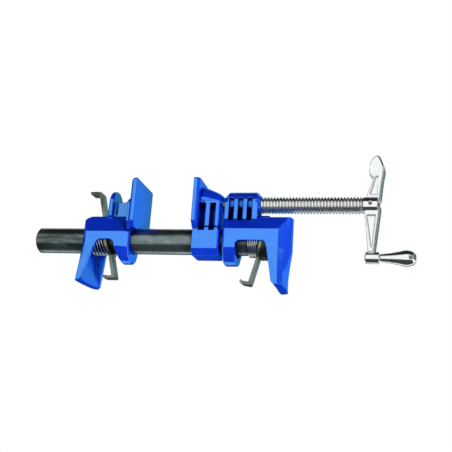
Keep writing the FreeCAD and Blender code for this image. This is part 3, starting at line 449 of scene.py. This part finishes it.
# ---------------------------------------------------------------- finishes on the nodes
FINISH = {"blue_enamel": blue_enamel(), "black_pipe_steel": black_pipe_steel(),
          "zinc_plated_steel": zinc_plated_steel(), "blackened_steel": blackened_steel(),
          "spring_steel": spring_steel(),
          "nickel_screw_steel": nickel_screw_steel(axis_z, CREST_R, ROOT_R),
          "bright_chrome": bright_chrome()}


def dress(item, material):
    item.data.materials.clear()
    item.data.materials.append(material)


for part in frame["record"]["subparts"]:
    dress(frame["nodes"][part["node"]], FINISH[part["material_slot"]])
dress(threaded, FINISH["nickel_screw_steel"])
for spring in springs:
    dress(spring, FINISH["spring_steel"])


# ---------------------------------------------------------------- floor
FLOOR_SIZE = 8.0
FLOOR_DROP = 0.2 * MM                   # keeps the floor clear of the soles
FLOOR_LIFT = 0.45                       # added for the camera alone


def plane(name, size_x, size_y):
    mesh = bpy.data.meshes.new(name)
    x = size_x / 2
    y = size_y / 2
    mesh.from_pydata([(-x, -y, 0), (x, -y, 0), (x, y, 0), (-x, y, 0)], [], [(0, 1, 2, 3)])
    made = bpy.data.objects.new(name, mesh)
    bpy.context.scene.collection.objects.link(made)
    return made


def floor_finish():
    """Pale and matt from above. Its underside lets the camera and the light through."""
    tone_dark = (0.86, 0.86, 0.86, 1)
    tone_pale = (0.90, 0.90, 0.90, 1)

    f = Finish("pale_floor")
    f.put(f.shader.inputs["Base Color"], f.mix(f.noise(3), tone_dark, tone_pale))
    f.shader.inputs["Roughness"].default_value = 0.9
    f.shader.inputs["Specular IOR Level"].default_value = 0.1
    # the camera alone sees it lifted towards the white backdrop, with the shadow kept
    path = f.node("ShaderNodeLightPath")
    lift = f.times(path.outputs["Is Camera Ray"], FLOOR_LIFT)
    f.shader.inputs["Emission Color"].default_value = WHITE
    f.put(f.shader.inputs["Emission Strength"], lift)
    below = f.node("ShaderNodeNewGeometry").outputs["Backfacing"]
    open_way = f.math("MAXIMUM", below, path.outputs["Is Shadow Ray"])
    see_through = f.node("ShaderNodeBsdfTransparent")
    blend = f.node("ShaderNodeMixShader")
    f.put(blend.inputs[0], open_way)
    f.put(blend.inputs[1], f.shader.outputs[0])
    f.put(blend.inputs[2], see_through.outputs[0])
    f.put(f.tree.nodes["Material Output"].inputs["Surface"], blend.outputs[0])
    return f.material


floor = plane("floor", FLOOR_SIZE, FLOOR_SIZE)
floor.location = (0, 0, -FLOOR_DROP)
floor.visible_glossy = False
dress(floor, floor_finish())


# ---------------------------------------------------------------- cards and lamps
MIDDLE = (0.0, 0.0, 0.065)              # of the clamp
IN_FRONT = (0.0, -0.50, 0.0)            # on the floor, on the camera's side
HIDDEN_FROM = ("camera", "diffuse", "transmission", "volume_scatter", "shadow")


def facing(place, aim):
    """The placement at one point that turns an object's -Z towards another."""
    place = Vector(place)
    turn = (Vector(aim) - place).to_track_quat("-Z", "Y")
    return Matrix.Translation(place) @ turn.to_matrix().to_4x4()


def card(name, place, aim, size_x, size_y, tone):
    """A studio card that only reflections see."""
    made = plane(name, size_x, size_y)
    made.matrix_world = facing(place, aim)
    material = bpy.data.materials.new(name)
    material.use_nodes = True
    tree = material.node_tree
    tree.nodes.remove(tree.nodes["Principled BSDF"])
    glow = tree.nodes.new("ShaderNodeEmission")
    glow.inputs["Color"].default_value = (*tone, 1)
    tree.links.new(glow.outputs[0], tree.nodes["Material Output"].inputs["Surface"])
    dress(made, material)
    for ray in HIDDEN_FROM:
        setattr(made, "visible_" + ray, False)


def lamp(name, place, size_x, size_y, power):
    """A soft lamp for the matt light alone; what reflections see is the cards and the world."""
    light = bpy.data.lights.new(name, "AREA")
    light.shape = "RECTANGLE"
    light.size = size_x
    light.size_y = size_y
    light.energy = power
    made = bpy.data.objects.new(name, light)
    bpy.context.scene.collection.objects.link(made)
    made.matrix_world = facing(place, MIDDLE)
    made.visible_camera = False
    made.visible_glossy = False


card("card_above", (0.0, -0.1, 0.95), MIDDLE, 2.6, 1.5, (0.02, 0.02, 0.02))
card("card_below", (0.0, -0.50, -0.80), IN_FRONT, 2.6, 1.8, (0.05, 0.055, 0.05))
card("card_right", (1.10, 0.25, 0.25), MIDDLE, 1.7, 1.0, (0.12, 0.16, 0.17))
card("card_back", (0.10, 1.40, 0.62), MIDDLE, 2.6, 1.1, (0.32, 0.54, 0.62))
card("card_back_low", (0.10, 1.40, -0.42), MIDDLE, 2.6, 0.95, (0.05, 0.11, 0.16))
card("card_left", (-1.20, 0.20, 0.10), MIDDLE, 1.2, 1.0, (0.11, 0.15, 0.16))
card("flag_left", (-1.25, -0.95, 0.15), MIDDLE, 1.0, 1.2, (0.06, 0.08, 0.08))
card("flag_right", (0.90, -1.05, 0.15), MIDDLE, 0.9, 1.2, (0.16, 0.20, 0.20))

lamp("key", (-0.28, -1.05, -0.30), 0.90, 0.50, 5.5)
lamp("side", (0.95, -0.62, -0.30), 0.60, 0.60, 17.0)
lamp("under", (-0.10, -0.45, -0.85), 0.90, 0.60, 1.5)
lamp("top", (-0.2, 0.45, 1.10), 0.90, 0.70, 5.0)
lamp("back", (-0.5, 1.0, 0.5), 0.80, 0.50, 6.0)


# ---------------------------------------------------------------- world
MATT_FILL = 0.18                        # what matt surfaces get from the world
BACKDROP = 1.0                          # what the camera and reflections see of it


def background(tree, strength):
    made = tree.nodes.new("ShaderNodeBackground")
    made.inputs["Color"].default_value = WHITE
    made.inputs["Strength"].default_value = strength
    return made.outputs[0]


def larger(tree, a, b):
    made = tree.nodes.new("ShaderNodeMath")
    made.operation = "MAXIMUM"
    tree.links.new(a, made.inputs[0])
    tree.links.new(b, made.inputs[1])
    return made.outputs[0]


def studio():
    """White to the camera, in reflections and through glass, and a faint fill elsewhere."""
    world = bpy.data.worlds.new("studio")
    world.use_nodes = True
    tree = world.node_tree
    tree.nodes.clear()
    path = tree.nodes.new("ShaderNodeLightPath").outputs
    seen = larger(tree, path["Is Camera Ray"], path["Is Glossy Ray"])
    seen_all = larger(tree, seen, path["Is Transmission Ray"])
    fill = background(tree, MATT_FILL)
    white = background(tree, BACKDROP)
    blend = tree.nodes.new("ShaderNodeMixShader")
    out = tree.nodes.new("ShaderNodeOutputWorld")
    tree.links.new(seen_all, blend.inputs[0])
    tree.links.new(fill, blend.inputs[1])
    tree.links.new(white, blend.inputs[2])
    tree.links.new(blend.outputs[0], out.inputs["Surface"])
    return world


bpy.context.scene.world = studio()

# ---------------------------------------------------------------- camera
# fitted to the photograph: 131 mm below the soles, to the head's side, leaning 3.9 degrees
EYE = (0.16653, -0.68350, -0.13110)
AZIMUTH = 0.22880507
ELEVATION = -0.27126042
ROLL = 0.06788394
FOCAL_PIXELS = 715.5706
PHOTO_PIXELS = 452
SENSOR = 36.0                           # mm, as Blender counts it
NEAREST = 0.01


def photo_camera():
    """A camera with the place, lean and focal length that the photograph was fitted with."""
    back = Vector((math.sin(AZIMUTH) * math.cos(ELEVATION),
                   -math.cos(AZIMUTH) * math.cos(ELEVATION), math.sin(ELEVATION)))
    right = Vector((math.cos(AZIMUTH), math.sin(AZIMUTH), 0))
    up = right.cross(-back)
    across = math.cos(ROLL) * right + math.sin(ROLL) * up
    upright = -math.sin(ROLL) * right + math.cos(ROLL) * up
    lens = bpy.data.cameras.new("camera")
    lens.lens = SENSOR * FOCAL_PIXELS / PHOTO_PIXELS
    lens.sensor_width = SENSOR
    lens.clip_start = NEAREST
    made = bpy.data.objects.new("camera", lens)
    bpy.context.scene.collection.objects.link(made)
    turn = Matrix((across, upright, back)).transposed().to_4x4()
    made.matrix_world = Matrix.Translation(EYE) @ turn
    return made


bpy.context.scene.camera = photo_camera()
bpy.context.scene.view_settings.view_transform = "Standard"
